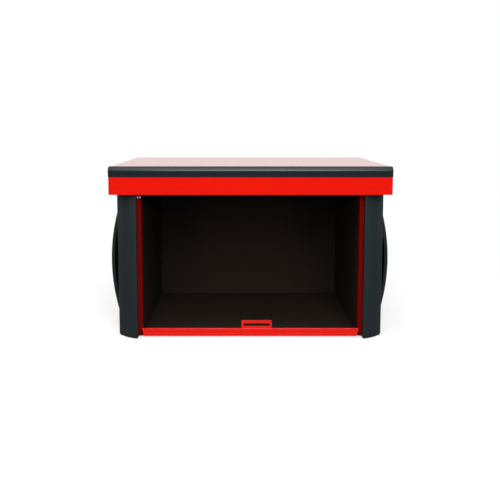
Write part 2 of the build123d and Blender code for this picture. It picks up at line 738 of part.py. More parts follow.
def rod_length(start, long, radius, mode=Mode.ADD):
    """A round bar along the strut's line, from start, measured from the foot pivot."""
    with BuildSketch(STRUT_LINE.offset(start)) as disc:
        Circle(radius)
    extrude(disc.sketch, amount=long, mode=mode)


def cross_bar(centre, x_low, x_high, radius, mode=Mode.ADD):
    """A round bar along X at centre, given as (Y, Z)."""
    with BuildSketch(Plane.YZ.offset(x_low)) as disc:
        with Locations(centre):
            Circle(radius)
    extrude(disc.sketch, amount=x_high - x_low, mode=mode)


with BuildPart() as strut_cylinder:
    rod_length(STRUT_TUBE_START, STRUT_TUBE_LONG, STRUT_TUBE)
    fillet(strut_cylinder.edges(), radius=STRUT_TUBE_ROUND)
    rod_length(0, STRUT_TUBE_START + 1, STRUT_ROD)
    cross_bar(STRUT_FOOT, EYE_LOW, EYE_HIGH, STRUT_EYE)
    chamber = STRUT_TUBE_START + STRUT_TUBE_BASE
    chamber_long = STRUT_TUBE_LONG - STRUT_TUBE_BASE - STRUT_GUIDE
    mouth = STRUT_TUBE_START + STRUT_MOUTH_START
    rod_length(chamber, chamber_long, STRUT_TUBE - STRUT_TUBE_WALL, mode=Mode.SUBTRACT)
    rod_length(mouth, STRUT_TUBE_LONG, STRUT_ROD + STRUT_FIT, mode=Mode.SUBTRACT)
    cross_bar(STRUT_FOOT, EYE_LOW - 1, EYE_HIGH + 1, STRUT_STUD + STRUT_FIT, mode=Mode.SUBTRACT)
write_pair(strut_cylinder, "strut_cylinder")

with BuildPart() as strut_rod:
    rod_length(STRUT_PISTON_START, STRUT_RUN - STRUT_PISTON_START, STRUT_ROD)
    rod_length(STRUT_PISTON_START, STRUT_PISTON_LONG, STRUT_TUBE - STRUT_TUBE_WALL - STRUT_FIT)
    cross_bar(STRUT_HEAD, EYE_LOW, EYE_HIGH, STRUT_EYE)
    cross_bar(STRUT_HEAD, EYE_HIGH - 1, EYE_HIGH + STUD_PROUD, STRUT_STUD + 1)
write_pair(strut_rod, "strut_rod")

# Body bracket: a plate on the side panel with the stud for the strut's foot
with BuildPart() as strut_body_bracket:
    with BuildSketch(Plane.YZ.offset(SIDE_IN - BRACKET_SHEET)):
        with Locations(STRUT_FOOT):
            RectangleRounded(BRACKET_WIDE, BRACKET_TALL, BRACKET_CORNER)
    extrude(amount=BRACKET_SHEET)
    clip_high = EYE_LOW - STRUT_GAP
    clip_low = clip_high - BRACKET_CLIP
    cross_bar(STRUT_FOOT, EYE_HIGH + STRUT_GAP, SIDE_IN - 1, STRUT_STUD + BRACKET_COLLAR)
    cross_bar(STRUT_FOOT, clip_low - 0.2, EYE_HIGH + 1, STRUT_STUD)
    cross_bar(STRUT_FOOT, clip_low, clip_high, STRUT_STUD + BRACKET_CLIP)
write_pair(strut_body_bracket, "strut_body_bracket")

# Lid bracket: a folded plate under the lid beside the strut's upper eye
with BuildPart() as strut_lid_bracket:
    front_end = STRUT_HEAD[0] - LID_PLATE_HALF
    back_end = STRUT_HEAD[0] + LID_PLATE_HALF
    block(
        (LID_PLATE_X, front_end, STRUT_HEAD[1] - LID_PLATE_DROP),
        (LID_PLATE_X + BRACKET_SHEET, back_end, LID_UNDER),
    )
    block(
        (LID_PLATE_X, front_end, LID_UNDER - BRACKET_SHEET),
        (LID_PLATE_X + LID_PLATE_FOLD, back_end, LID_UNDER),
    )
    cross_bar(STRUT_HEAD, LID_PLATE_X + 1, LID_PLATE_X + BRACKET_SHEET + 2.5, STRUT_STUD + BRACKET_CLIP)
write_pair(strut_lid_bracket, "strut_lid_bracket")
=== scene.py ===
# %% [markdown]
# A steel tool chest with a lift-up lid, dressed for a studio picture.
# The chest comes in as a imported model: every steel sheet, post, grip, hinge and strut is
# already there at its real size and place. This lesson gives it finishes, and swaps the
# moulded and folded pieces for smoother surfaces that are worked out with numpy.

import json

import bmesh
import bpy
import numpy as np
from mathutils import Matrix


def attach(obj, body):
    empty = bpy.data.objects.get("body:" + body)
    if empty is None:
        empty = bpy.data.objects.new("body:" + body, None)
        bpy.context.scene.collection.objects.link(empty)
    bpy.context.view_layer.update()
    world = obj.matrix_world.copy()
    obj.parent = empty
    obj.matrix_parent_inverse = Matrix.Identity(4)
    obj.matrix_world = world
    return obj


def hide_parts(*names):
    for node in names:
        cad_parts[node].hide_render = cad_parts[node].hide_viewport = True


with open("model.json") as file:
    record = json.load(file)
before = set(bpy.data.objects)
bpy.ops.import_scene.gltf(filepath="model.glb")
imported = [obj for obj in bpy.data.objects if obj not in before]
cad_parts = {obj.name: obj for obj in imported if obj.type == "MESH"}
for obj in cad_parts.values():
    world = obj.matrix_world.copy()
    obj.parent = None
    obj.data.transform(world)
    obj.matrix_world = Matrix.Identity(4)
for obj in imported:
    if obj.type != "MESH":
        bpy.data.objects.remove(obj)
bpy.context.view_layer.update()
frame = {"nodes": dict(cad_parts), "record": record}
MM = 0.001
print("nodes in the chest:", len(frame["nodes"]))

# %% [markdown]
# The camera is the first thing to settle, because everything else is judged through it.
# The picture was taken from a little above the lid with a normal lens, level from side to
# side. The small shift slides the picture on the sensor, as a studio camera's rise does,
# so that the chest sits low in the frame without bending its upright lines.

# %% Camera
CAMERA_PLACE = (-0.0260, -1.7944, 0.5458)
CAMERA_TILT, CAMERA_LENS, CAMERA_SHIFT = 84.004, 46.318, (0.02, -0.12)
camera_data = bpy.data.cameras.new("studio_camera")
camera_data.lens = CAMERA_LENS
camera_data.shift_x, camera_data.shift_y = CAMERA_SHIFT
camera = bpy.data.objects.new("studio_camera", camera_data)
camera.location = CAMERA_PLACE
camera.rotation_euler = (np.radians(CAMERA_TILT), 0, 0)
bpy.context.scene.collection.objects.link(camera)
bpy.context.scene.camera = camera
bpy.context.scene.view_settings.view_transform = "Standard"
print("camera at", CAMERA_PLACE)

# %% [markdown]
# A finish in Blender is a small network of nodes. Writing it as sums on sockets keeps it
# short: a Wire stands for one socket, and adding or multiplying two wires lays down the
# Math node that does it. Every other node comes from one call, which names its type, its
# settings and what goes into its sockets.


# %% A wire for shader sums
class Wire:
    """One output socket of a node tree, which can be used in sums with numbers."""

    def __init__(self, tree, socket):
        self.tree = tree
        self.socket = socket

    def sum_of(self, operation, first, second):
        node = self.tree.nodes.new("ShaderNodeMath")
        node.operation = operation
        for place, value in enumerate((first, second)):
            if isinstance(value, Wire):
                self.tree.links.new(value.socket, node.inputs[place])
            else:
                node.inputs[place].default_value = value
        return Wire(self.tree, node.outputs[0])

    def __add__(self, other):
        return self.sum_of("ADD", self, other)

    def __mul__(self, other):
        return self.sum_of("MULTIPLY", self, other)

    def __sub__(self, other):
        return self.sum_of("SUBTRACT", self, other)

    def __rsub__(self, other):
        return self.sum_of("SUBTRACT", other, self)

    __radd__ = __add__
    __rmul__ = __mul__


class Network:
    """The nodes of one material or of the surround: node() adds one and fills its sockets."""

    def __init__(self, owner):
        owner.use_nodes = True
        self.tree = owner.node_tree

    def plug(self, socket, value):
        if isinstance(value, Wire):
            self.tree.links.new(value.socket, socket)
        else:
            socket.default_value = value

    def node(self, kind, settings=(), output=0, **sockets):
        node = self.tree.nodes.new(kind)
        for key, value in dict(settings).items():
            setattr(node, key, value)
        for key, value in sockets.items():
            self.plug(node.inputs[key.replace("_", " ")], value)
        return Wire(self.tree, node.outputs[output])

    def ramp(self, value, low, high, first=0.0, last=1.0):
        """Smoothly from first to last while value goes from low to high."""
        limits = dict(Value=value, From_Min=low, From_Max=high, To_Min=first, To_Max=last)
        return self.node("ShaderNodeMapRange", {"interpolation_type": "SMOOTHSTEP"}, **limits)


class Finish(Network):
    """A material under construction: shine() sets its shader and gives the material back."""

    def __init__(self, name):
        self.material = bpy.data.materials.new(name)
        super().__init__(self.material)
        self.shader = self.tree.nodes["Principled BSDF"]
        self.place = self.node("ShaderNodeTexCoord", output="Object")

    def stretched(self, scale):
        return self.node("ShaderNodeMapping", Vector=self.place, Scale=scale)

    def noise(self, scale, detail=2.0, vector=None):
        where = vector or self.place
        return self.node("ShaderNodeTexNoise", Vector=where, Scale=scale, Detail=detail)

    def cells(self, scale):
        return self.node("ShaderNodeTexVoronoi", output="Distance", Vector=self.place, Scale=scale)

    def mix(self, factor, first, second):
        node = self.tree.nodes.new("ShaderNodeMix")
        node.data_type = "RGBA"
        self.plug(node.inputs["Factor"], factor)
        for key, value in (("A", first), ("B", second)):
            colour_socket = [s for s in node.inputs if s.name == key and s.type == "RGBA"][0]
            self.plug(colour_socket, value)
        return Wire(self.tree, [s for s in node.outputs if s.type == "RGBA"][0])

    def bump(self, height, deep, strength=1.0):
        return self.node("ShaderNodeBump", Height=height, Distance=deep, Strength=strength)

    def shine(self, **sockets):
        for key, value in sockets.items():
            self.plug(self.shader.inputs[key.replace("_", " ")], value)
        return self.material


print("shader tools ready")

# %% [markdown]
# A catalogue photograph of a chest is taken on a white sweep with large soft lamps above
# and beside it, while the side of the camera stays dark: that is why upright faces show
# their own colour, and only the lid, seen at a slant, mirrors the bright backdrop. The
# surround here is white to the eye, and as a light it is bright behind and dim in front.

# %% Surround
FRONT_GLOW, BACK_GLOW, SKY_GLOW = 0.10, 0.80, 0.55
BACKDROP_TOP_SHARE = 0.30
world = bpy.data.worlds.new("studio_surround")
bpy.context.scene.world = world
studio = Network(world)
way = studio.node("ShaderNodeTexCoord", output="Generated")
axes = studio.tree.nodes.new("ShaderNodeSeparateXYZ")
studio.plug(axes.inputs[0], way)
way_back, way_up = Wire(studio.tree, axes.outputs[1]), Wire(studio.tree, axes.outputs[2])
backdrop = studio.ramp(way_back, -0.15, 0.45, FRONT_GLOW, BACK_GLOW)
backdrop = backdrop * studio.ramp(way_up, 0.12, 0.42, 1.0, BACKDROP_TOP_SHARE)
glow = backdrop + studio.ramp(way_up, 0.2, 1.0, 0.0, SKY_GLOW)
seen = studio.node("ShaderNodeLightPath", output="Is Camera Ray")
background = studio.tree.nodes["Background"]
background.inputs["Color"].default_value = (1, 1, 1, 1)
studio.plug(background.inputs["Strength"], seen + (1 - seen) * glow)
print("surround ready")

# %% [markdown]
# The floor is a matt white sheet near the chest, where it takes the soft shadow. Further
# out it turns into a plain white glow, so that no horizon cuts the picture in two. A part
# of that glow is mixed into the sheet for the eye too, as when it is lit from below, so
# the shadow stays faint.

# %% Floor and lamps
FLOOR_HALF = 14.0
FLOOR_DROP = 0.0004
SHEET_EDGE, SWEEP_EDGE = 0.55, 1.30
FAR_GLOW, FLOOR_SHADE, FLOOR_LIFT = 0.07, 0.86, 0.55
PAPER = (0.93, 0.93, 0.93, 1)
LAMP_AIM = (0, 0, 0.2)


def flat_floor():
    """A square on the ground: x and y run from -half to half, z is a hair below nought."""
    corners = np.array([(-1, -1), (1, -1), (1, 1), (-1, 1)]) * FLOOR_HALF
    mesh = bpy.data.meshes.new("studio_floor")
    mesh.from_pydata([(x, y, -FLOOR_DROP) for x, y in corners], [], [(0, 1, 2, 3)])
    sheet = bpy.data.objects.new("studio_floor", mesh)
    bpy.context.scene.collection.objects.link(sheet)
    return sheet


def lamp(name, place, size, power, mirrored=True):
    """A square soft lamp of this size in metres, turned towards the chest. A lamp that only
    fills the shade is kept out of mirror images."""
    data = bpy.data.lights.new(name, "AREA")
    data.size = size
    data.energy = power
    light = bpy.data.objects.new(name, data)
    light.location = place
    light.visible_glossy = mirrored
    away = np.array(place) - np.array(LAMP_AIM)
    across = np.hypot(away[0], away[1])
    light.rotation_euler = (np.arctan2(across, away[2]), 0, np.arctan2(away[0], -away[1]))
    bpy.context.scene.collection.objects.link(light)


floor = flat_floor()
sweep = Finish("white_sweep")
sweep.shine(Base_Color=PAPER, Roughness=0.9)
sweep.shader.inputs["Specular IOR Level"].default_value = 0.0
length = {"operation": "LENGTH"}
distance = sweep.node("ShaderNodeVectorMath", length, output="Value", Vector=sweep.place)
seen = sweep.node("ShaderNodeLightPath", output="Is Camera Ray")
far = sweep.node("ShaderNodeEmission", Color=(1, 1, 1, 1), Strength=seen + (1 - seen) * FAR_GLOW)
sheet_end = sweep.ramp(distance, SHEET_EDGE, SWEEP_EDGE)
blend = sweep.tree.nodes.new("ShaderNodeMixShader")
sheet_glow = (1 - seen) * FLOOR_SHADE + seen * FLOOR_LIFT
sweep.plug(blend.inputs[0], sheet_end + (1 - sheet_end) * sheet_glow)
sweep.tree.links.new(sweep.shader.outputs[0], blend.inputs[1])
sweep.plug(blend.inputs[2], far)
sweep.tree.links.new(blend.outputs[0], sweep.tree.nodes["Material Output"].inputs["Surface"])
floor.data.materials.append(sweep.material)
lamp("key", (0.1, -2.3, 1.75), 1.3, 46)
lamp("left_fill", (-0.85, -2.2, 0.76), 0.5, 9, mirrored=False)
lamp("right_fill", (0.85, -2.2, 0.76), 0.5, 9, mirrored=False)
lamp("overhead", (0.0, -0.7, 2.4), 1.6, 18)
lamp("rear", (-0.5, 2.4, 1.5), 1.2, 16, mirrored=False)
lamp("left_side", (-1.9, -1.0, 2.1), 1.2, 14)
lamp("right_side", (1.9, -1.0, 2.1), 1.2, 11)

# %% [markdown]
# The red is powder coat: plastic dust melted onto the steel in an oven. It flows out glossy
# but never quite flat, and the shallow ripple that is left is called orange peel. A noise
# about two millimetres wide feeds a Bump node for it, and a thin clear coat on top gives
# the second, sharper gloss that makes the lid glare.

# %% Red powder coat
RED = (0.740, 0.0060, 0.0012, 1)
DEEP_RED = (0.610, 0.0040, 0.0010, 1)


def powder_coat(name, bright, deep, rough, coat, gleam):
    """Orange peel from one noise, and a faint cloudiness of colour and gloss from another."""
    finish = Finish(name)
    finish.shader.inputs["Specular IOR Level"].default_value = gleam
    cloud = finish.noise(7.0, detail=3.0)
    peel = finish.noise(460.0, detail=1.0)
    speck = finish.noise(1900.0, detail=1.0)
    return finish.shine(
        Base_Color=finish.mix(cloud * 0.5, bright, deep),
        Roughness=rough + cloud * 0.05 + speck * 0.03,
        Coat_Weight=coat,
        Coat_Roughness=0.04,
        Normal=finish.bump(peel + speck * 0.1, 0.00002, 0.4),
    )


# A much darker, matter copy of the same red, for the stiles beside the opening: painted shade, standing
# for the shade in the recess behind the posts and under the lid.
SHADED_RED, SHADED_DEEP_RED = (0.140, 0.0010, 0.0006, 1), (0.105, 0.0008, 0.0005, 1)
red_paint = powder_coat("red_powder_coat", RED, DEEP_RED, 0.16, 0.95, gleam=0.12)
painted_shade_red = powder_coat("red_powder_coat_painted_shade", SHADED_RED, SHADED_DEEP_RED, 0.40, 0.0, gleam=0.08)
print(red_paint.name, painted_shade_red.name)

# %% [markdown]
# The inside of the chest has a near-black coat with a matt, slightly sandy surface. It is
# made by the same function, with a rougher base and no clear coat.

# %% Dark coat
SOOT = (0.0205, 0.0138, 0.0102, 1)
DEEP_SOOT = (0.0170, 0.0112, 0.0084, 1)
dark_paint = powder_coat("dark_powder_coat", SOOT, DEEP_SOOT, 0.66, 0.0, gleam=0.12)
print(dark_paint.name)

# %% [markdown]
# The posts, grips and trim are moulded plastic. The steel mould is etched, so the plastic
# comes out with a fine leathery grain that scatters light: a Voronoi pattern under a
# millimetre wide gives the cells, and a soft noise keeps them from looking printed. The
# trim comes from a smoother mould than the rest, so a bead on it throws a sharp light.

# %% Moulded plastic
ANTHRACITE = (0.0102, 0.0158, 0.0175, 1)
ANTHRACITE_PALE = (0.0136, 0.0202, 0.0222, 1)


def moulded(name, dark, pale, rough, grain):
    """Etched cells for the grain, and a slow drift of tone as of cooling plastic."""
    finish = Finish(name)
    drift = finish.noise(5.0, detail=2.0)
    cells = finish.cells(1150.0)
    fine = finish.noise(2600.0, detail=1.0)
    finish.shader.inputs["Specular IOR Level"].default_value = 0.30
    return finish.shine(
        Base_Color=finish.mix(drift * 0.7 + cells * 0.3, dark, pale),
        Roughness=rough + cells * 0.10 + drift * 0.05,
        Coat_Weight=0.0,
        Normal=finish.bump(cells + fine * 0.4, 0.00004, grain),
    )


anthracite = moulded("anthracite_plastic", ANTHRACITE, ANTHRACITE_PALE, 0.42, 0.45)
trim_plastic = moulded("polished_trim_plastic", ANTHRACITE, ANTHRACITE_PALE, 0.17, 0.25)
BLACK, BLACK_PALE = (0.010, 0.011, 0.012, 1), (0.016, 0.017, 0.018, 1)
black_plastic = moulded("black_plastic", BLACK, BLACK_PALE, 0.36, 0.3)
print(anthracite.name, trim_plastic.name, black_plastic.name)

# %% [markdown]
# Rubber is matt and a little dusty, zinc plate is a soft cloudy silver, and the strut rods
# are ground and chromed, so their scratches run round them. Metals take their colour from
# the reflection, so Metallic is one all over, and only the roughness and bump change. The
# two small rivets at the opening get a near-white, non-metal base instead: painted highlight, a white
# that stands for the bright glint they show.

# %% Rubber and bright metal
RUBBER, DUSTY_RUBBER = (0.008, 0.008, 0.009, 1), (0.022, 0.021, 0.020, 1)
ZINC, DULL_ZINC = (0.74, 0.74, 0.72, 1), (0.58, 0.58, 0.55, 1)
CHROME, DULL_CHROME = (0.72, 0.72, 0.73, 1), (0.64, 0.64, 0.66, 1)
GLINT_WHITE, DULL_GLINT_WHITE = (0.90, 0.89, 0.87, 1), (0.78, 0.77, 0.75, 1)
ZINC_STREAKS, CHROME_STREAKS = (120, 900, 900), (500, 2500, 500)
rubber_finish = Finish("black_rubber")
dust = rubber_finish.noise(60.0, detail=4.0)
rubber = rubber_finish.shine(
    Base_Color=rubber_finish.mix(dust * 0.6, RUBBER, DUSTY_RUBBER),
    Roughness=0.72 + dust * 0.15,
    Normal=rubber_finish.bump(rubber_finish.noise(1500.0), 0.00005, 0.5),
)


def bright_metal(name, first, second, rough, streak_scale, scratch):
    """Cloudy plating, with scratches drawn out along one way by a stretched noise."""
    finish = Finish(name)
    cloud = finish.noise(85.0, detail=3.0)
    streaks = finish.noise(1.0, detail=3.0, vector=finish.stretched(streak_scale))
    return finish.shine(
        Base_Color=finish.mix(cloud, first, second),
        Metallic=1.0,
        Roughness=rough + cloud * 0.12 + streaks * 0.08,
        Normal=finish.bump(streaks, 0.000015, scratch),
    )


zinc = bright_metal("zinc_plate", ZINC, DULL_ZINC, 0.28, ZINC_STREAKS, 0.4)
chrome = bright_metal("ground_chrome", CHROME, DULL_CHROME, 0.10, CHROME_STREAKS, 0.2)
# Painted highlight: this near-white base stands for the glint on the two small rivets, not for their own
# colour.
rivet_finish = Finish("rivet_painted_glint")
cloud = rivet_finish.noise(300.0, detail=2.0)
painted_glint_rivet = rivet_finish.shine(
    Base_Color=rivet_finish.mix(cloud, GLINT_WHITE, DULL_GLINT_WHITE),
    Roughness=0.12 + cloud * 0.10,
    Normal=rivet_finish.bump(cloud, 0.00001, 0.3),
)
print(rubber.name, zinc.name, chrome.name, painted_glint_rivet.name)

# %% [markdown]
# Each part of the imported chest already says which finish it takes, by the name of a slot.
# One short loop gives every part its material, including those behind and inside.

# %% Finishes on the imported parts
FINISHES = {
    "red_paint": red_paint,
    "dark_paint": dark_paint,
    "anthracite_plastic": anthracite,
    "black_plastic": black_plastic,
    "black_rubber": rubber,
    "zinc_steel": zinc,
    "chrome_rod": chrome,
}
node_slots = {entry["node"]: entry["material_slot"] for entry in frame["record"]["subparts"]}
for node, slot_name in node_slots.items():
    part = frame["nodes"][node]
    part.data.materials.clear()
    part.data.materials.append(FINISHES[slot_name])
print("parts with a finish:", len(node_slots))

# %% [markdown]
# A moulded or folded piece is one section drawn many times along a way. Each drawing is a
# ring of points, and all the rings together are one array. Joining ring to ring with four
# sided faces gives the skin, and one face at each end closes it. Doing this with arrays
# means the shape is a formula, which can be read and changed.


# %% Rings into skins
WELD = 0.004


def skin(name, shells, crease=38.0):
    """Shells are arrays of rings, in millimetres: levels x points x 3. Each ring is joined to
    the next by quads. Both ends are closed, unless the last ring lies on the first one, as
    in a bracelet, where they are joined."""
    places, faces, start = [], [], 0
    for rings in shells:
        levels, count = rings.shape[:2]
        index = start + np.arange(levels * count).reshape(levels, count)
        below, above = index[:-1], index[1:]
        beside = (np.roll(below, -1, 1), np.roll(above, -1, 1))
        faces += np.stack([below, beside[0], beside[1], above], -1).reshape(-1, 4).tolist()
        if not np.allclose(rings[0], rings[-1]):
            faces += [index[0][::-1].tolist(), index[-1].tolist()]
        places.append(rings.reshape(-1, 3))
        start += levels * count
    mesh = bpy.data.meshes.new(name)
    mesh.from_pydata((np.vstack(places) * MM).tolist(), [], faces)
    shell = bmesh.new()
    shell.from_mesh(mesh)
    bmesh.ops.remove_doubles(shell, verts=shell.verts, dist=WELD * MM)
    bmesh.ops.dissolve_degenerate(shell, edges=shell.edges, dist=WELD * MM)
    bmesh.ops.recalc_face_normals(shell, faces=shell.faces)
    shell.to_mesh(mesh)
    shell.free()
    mesh.shade_smooth()
    mesh.set_sharp_from_angle(angle=np.radians(crease))
    piece = bpy.data.objects.new(name, mesh)
    bpy.context.scene.collection.objects.link(piece)
    return piece


def dress(piece, body, slot_name, *nodes, finish=None):
    """Give a new piece its finish and its body, and let it stand for the nodes named."""
    piece.data.materials.append(finish or FINISHES[slot_name])
    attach(piece, body)
    if nodes:
        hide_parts(*nodes)
    print(piece.name, "faces:", len(piece.data.polygons))
    return piece


def soften(corners, cuts, steps):
    """A drawn line with rounded corners. Each corner is cut back by its length and bridged
    by a parabola: the point at t is (1-t)^2 of the point before, 2t(1-t) of the corner and
    t^2 of the point after. A corner with no cut stays sharp."""
    corners = np.array(corners, float)
    cuts = np.broadcast_to(np.array(cuts, float).reshape(len(cuts), -1), (len(cuts), 2))
    before = np.roll(corners, 1, 0) - corners
    after = np.roll(corners, -1, 0) - corners
    before *= cuts[:, :1] / np.linalg.norm(before, axis=1, keepdims=True)
    after *= cuts[:, 1:] / np.linalg.norm(after, axis=1, keepdims=True)
    bends = []
    for corner, first, last, cut in zip(corners, before, after, cuts):
        t = np.linspace(0, 1, steps if cut.max() > 0 else 1)[:, None]
        bends.append(corner + (1 - t) ** 2 * first + t**2 * last)
    return np.vstack(bends)


def draw_in(outline, amount):
    """Move each point of a closed outline inwards by its amount, square to the line."""
    ahead = np.roll(outline, -1, 0) - outline
    behind = outline - np.roll(outline, 1, 0)
    ahead /= np.linalg.norm(ahead, axis=1, keepdims=True)
    behind /= np.linalg.norm(behind, axis=1, keepdims=True)
    along = ahead + behind
    along /= np.maximum(np.linalg.norm(along, axis=1, keepdims=True), 0.2)
    square = np.stack([-along[:, 1], along[:, 0]], -1)
    x, y = outline.T
    turn = np.sign(np.sum(x * np.roll(y, -1) - y * np.roll(x, -1)))
    mitre = np.maximum(np.sum(along * ahead, 1), 0.5)
    return outline + turn * square * (np.asarray(amount) / mitre)[:, None]


def quarter_round(radius, steps=7):
    """How far a rounded edge is drawn in, and how high it is, on the way round it."""
    turn = np.linspace(0, np.pi / 2, steps)
    return radius * (1 - np.sin(turn)), radius * (1 - np.cos(turn))


def lifted(outline, height):
    """An outline in x and y as one ring at this height."""
    return np.column_stack([outline, np.full(len(outline), height)])


def mirrored(rings):
    """The same rings on the other side of the chest: x changes its sign."""
    return rings * (-1, 1, 1)


SIDES = (("left", mirrored), ("right", np.array))
print("shape tools ready")

# %% [markdown]
# The front posts are injection moulded shells that clip over the steel corners. Their front
# face swells gently, the inner edge stands proud as a ridge, and the foot is solid because
# the chest stands on it. The outline is a few named corners with their rounding, and the
# pad, the foot and the hollow leg are the same outline with a different inner side.

# %% Front posts
SIDE_OUT, POST_OUT, POST_HIGH = 333.0, 339.0, 427.0
POST_RIDGE, POST_FACE, POST_TURN, POST_TAIL = 285.0, -212.5, -174.5, -117.5
STILE_FACE = -197.5
PAD_HIGH, FOOT_HIGH, FOOT_ROUND = 3.4, 12.0, 3.0
POST_SWELL, POST_INNER, POST_EDGE, POST_EASE = (314.0, -204.6), 291.0, 1.0, 0.3
STEEL_CORNER, STEEL_TURN = (306.0, STILE_FACE), -168.0
PAD_IN, PAD_BACK = 301.0, -181.5
POST_CORNERS = [
    (POST_RIDGE, STILE_FACE),
    (POST_RIDGE, POST_FACE),
    POST_SWELL,
    (POST_OUT, POST_TURN),
    (POST_OUT, POST_TAIL),
]
POST_CUTS = [(0, 0), (2.6, 2.6), (26.5, 31), (9, 9), (1.2, 1.2)]
POST_PAD = [
    (PAD_IN, POST_TAIL),
    (PAD_IN, -150),
    (PAD_IN, PAD_BACK),
    (PAD_IN - 8, PAD_BACK),
    (POST_RIDGE, PAD_BACK),
]
POST_SOLE = [
    (SIDE_OUT, POST_TAIL),
    (SIDE_OUT, STEEL_TURN),
    STEEL_CORNER,
    (298, STILE_FACE),
    (POST_INNER, STILE_FACE),
]
POST_HOLLOW = [
    (SIDE_OUT, POST_TAIL),
    (SIDE_OUT, STEEL_TURN - 4),
    (311.2, -196.8),
    (POST_INNER, -206.5),
    (POST_INNER, STILE_FACE),
]


def post_level(outer, inner, inset, z):
    """One ring at height z: the outer line, drawn in by the inset, and the inner line."""
    shown = np.r_[np.ones(len(outer)), np.zeros(len(inner))]
    return lifted(draw_in(np.vstack([outer, inner]), shown * inset), z)


def post_top(inner):
    """The last three levels of a post: its top edge is drawn in."""
    drops = ((POST_EDGE, 0), (POST_EASE, POST_EASE), (0, POST_EDGE))
    return [(POST_HIGH - drop, inner, inset) for drop, inset in drops]


def post_rings():
    """From the ground up: the pad, the solid foot, then the hollow leg. The lowest edge is
    drawn in as a quarter round, and the top edge by a millimetre."""
    outer = soften(POST_CORNERS, POST_CUTS, steps=14)
    drawn, heights = quarter_round(FOOT_ROUND, 9)
    levels = [(height, POST_PAD, inset) for height, inset in zip(heights, drawn)]
    levels += [(PAD_HIGH, POST_PAD, 0), (PAD_HIGH, POST_SOLE, 0)]
    levels += [(FOOT_HIGH, POST_SOLE, 0), (FOOT_HIGH, POST_HOLLOW, 0)]
    levels += post_top(POST_HOLLOW)
    return np.stack([post_level(outer, inner, inset, z) for z, inner, inset in levels])


for side, place in SIDES:
    post = skin(f"front_post_skin_{side}", [place(post_rings())])
    dress(post, "chest", "anthracite_plastic", f"front_post_{side}")

# %% [markdown]
# The rear posts are plainer: a rounded corner of the same plastic, wrapped round the back
# of the steel. They are made in the same way from a shorter outline.

# %% Rear posts
REAR_START, REAR_BACK, BACK_OUT = 128.0, 219.0, 213.0
REAR_CORNERS = [(PAD_IN, REAR_BACK), (POST_OUT, REAR_BACK), (POST_OUT, REAR_START)]
REAR_CUTS = [(1, 1), (16, 16), (1.2, 1.2)]
REAR_PAD = [(PAD_IN, REAR_START), (PAD_IN, 170), (PAD_IN, BACK_OUT)]
REAR_WALL = [(SIDE_OUT, REAR_START), (SIDE_OUT, BACK_OUT), (PAD_IN, BACK_OUT)]


def rear_post_rings():
    """The pad, then the wall round the corner, with a rounded foot and top edge."""
    outer = soften(REAR_CORNERS, REAR_CUTS, steps=14)
    levels = [(0, REAR_PAD, 1.6), (0.5, REAR_PAD, 0.7), (1.6, REAR_PAD, 0), (PAD_HIGH, REAR_PAD, 0)]
    levels += [(PAD_HIGH, REAR_WALL, 0), *post_top(REAR_WALL)]
    return np.stack([post_level(outer, inner, inset, z) for z, inner, inset in levels])


for side, place in SIDES:
    post = skin(f"rear_post_skin_{side}", [place(rear_post_rings())])
    dress(post, "chest", "anthracite_plastic", f"rear_post_{side}")

# %% [markdown]
# The side grips are bowed shells, proud of the steel by the depth of a hand. They are open
# to the front, so that fingers reach in behind the rim, and they run out flat at the back.
# The outside is part of a great barrel: an arc in plan, turned about a far upright arc.

# %% Side grips
GRIP_MIDDLE, GRIP_FRONT, GRIP_CROWN = 178.0, -104.5, 369.0
GRIP_HALF_TALL, GRIP_POCKET_HALF, GRIP_CORNER = 169.0, 110.0, 30.0
GRIP_LONG, GRIP_WALL, GRIP_BASE, GRIP_BARREL = 174.5, 5.0, 3.0, 500.0
GRIP_RIM, GRIP_END, GRIP_LIP, LIP_RUN = 2.6, 3.0, 4.5, 16.0
GRIP_PROUD = GRIP_CROWN - SIDE_OUT
GRIP_PLAN = (GRIP_PROUD**2 + GRIP_LONG**2) / (2 * GRIP_PROUD)


def bowed(y, up, wall):
    """How far out the barrel is: the plan arc's x at y, seen from the barrel's far axis,
    is the radius of the upright arc, and that arc at this height above the middle gives x."""
    plan_x = GRIP_CROWN - GRIP_PLAN + np.sqrt((GRIP_PLAN - wall) ** 2 - (y - GRIP_FRONT) ** 2)
    axis_x = GRIP_CROWN - GRIP_BARREL
    return axis_x + np.sqrt((plan_x - axis_x) ** 2 - up**2)


def bow_end(up, wall, floor_x):
    """How far back the barrel meets the plane at floor_x, at this height."""
    axis_x = GRIP_CROWN - GRIP_BARREL
    plan_x = np.hypot(floor_x - axis_x, up) + axis_x
    reach = (GRIP_PLAN - wall) ** 2 - (plan_x - GRIP_CROWN + GRIP_PLAN) ** 2
    return GRIP_FRONT + np.sqrt(np.maximum(reach, 0))


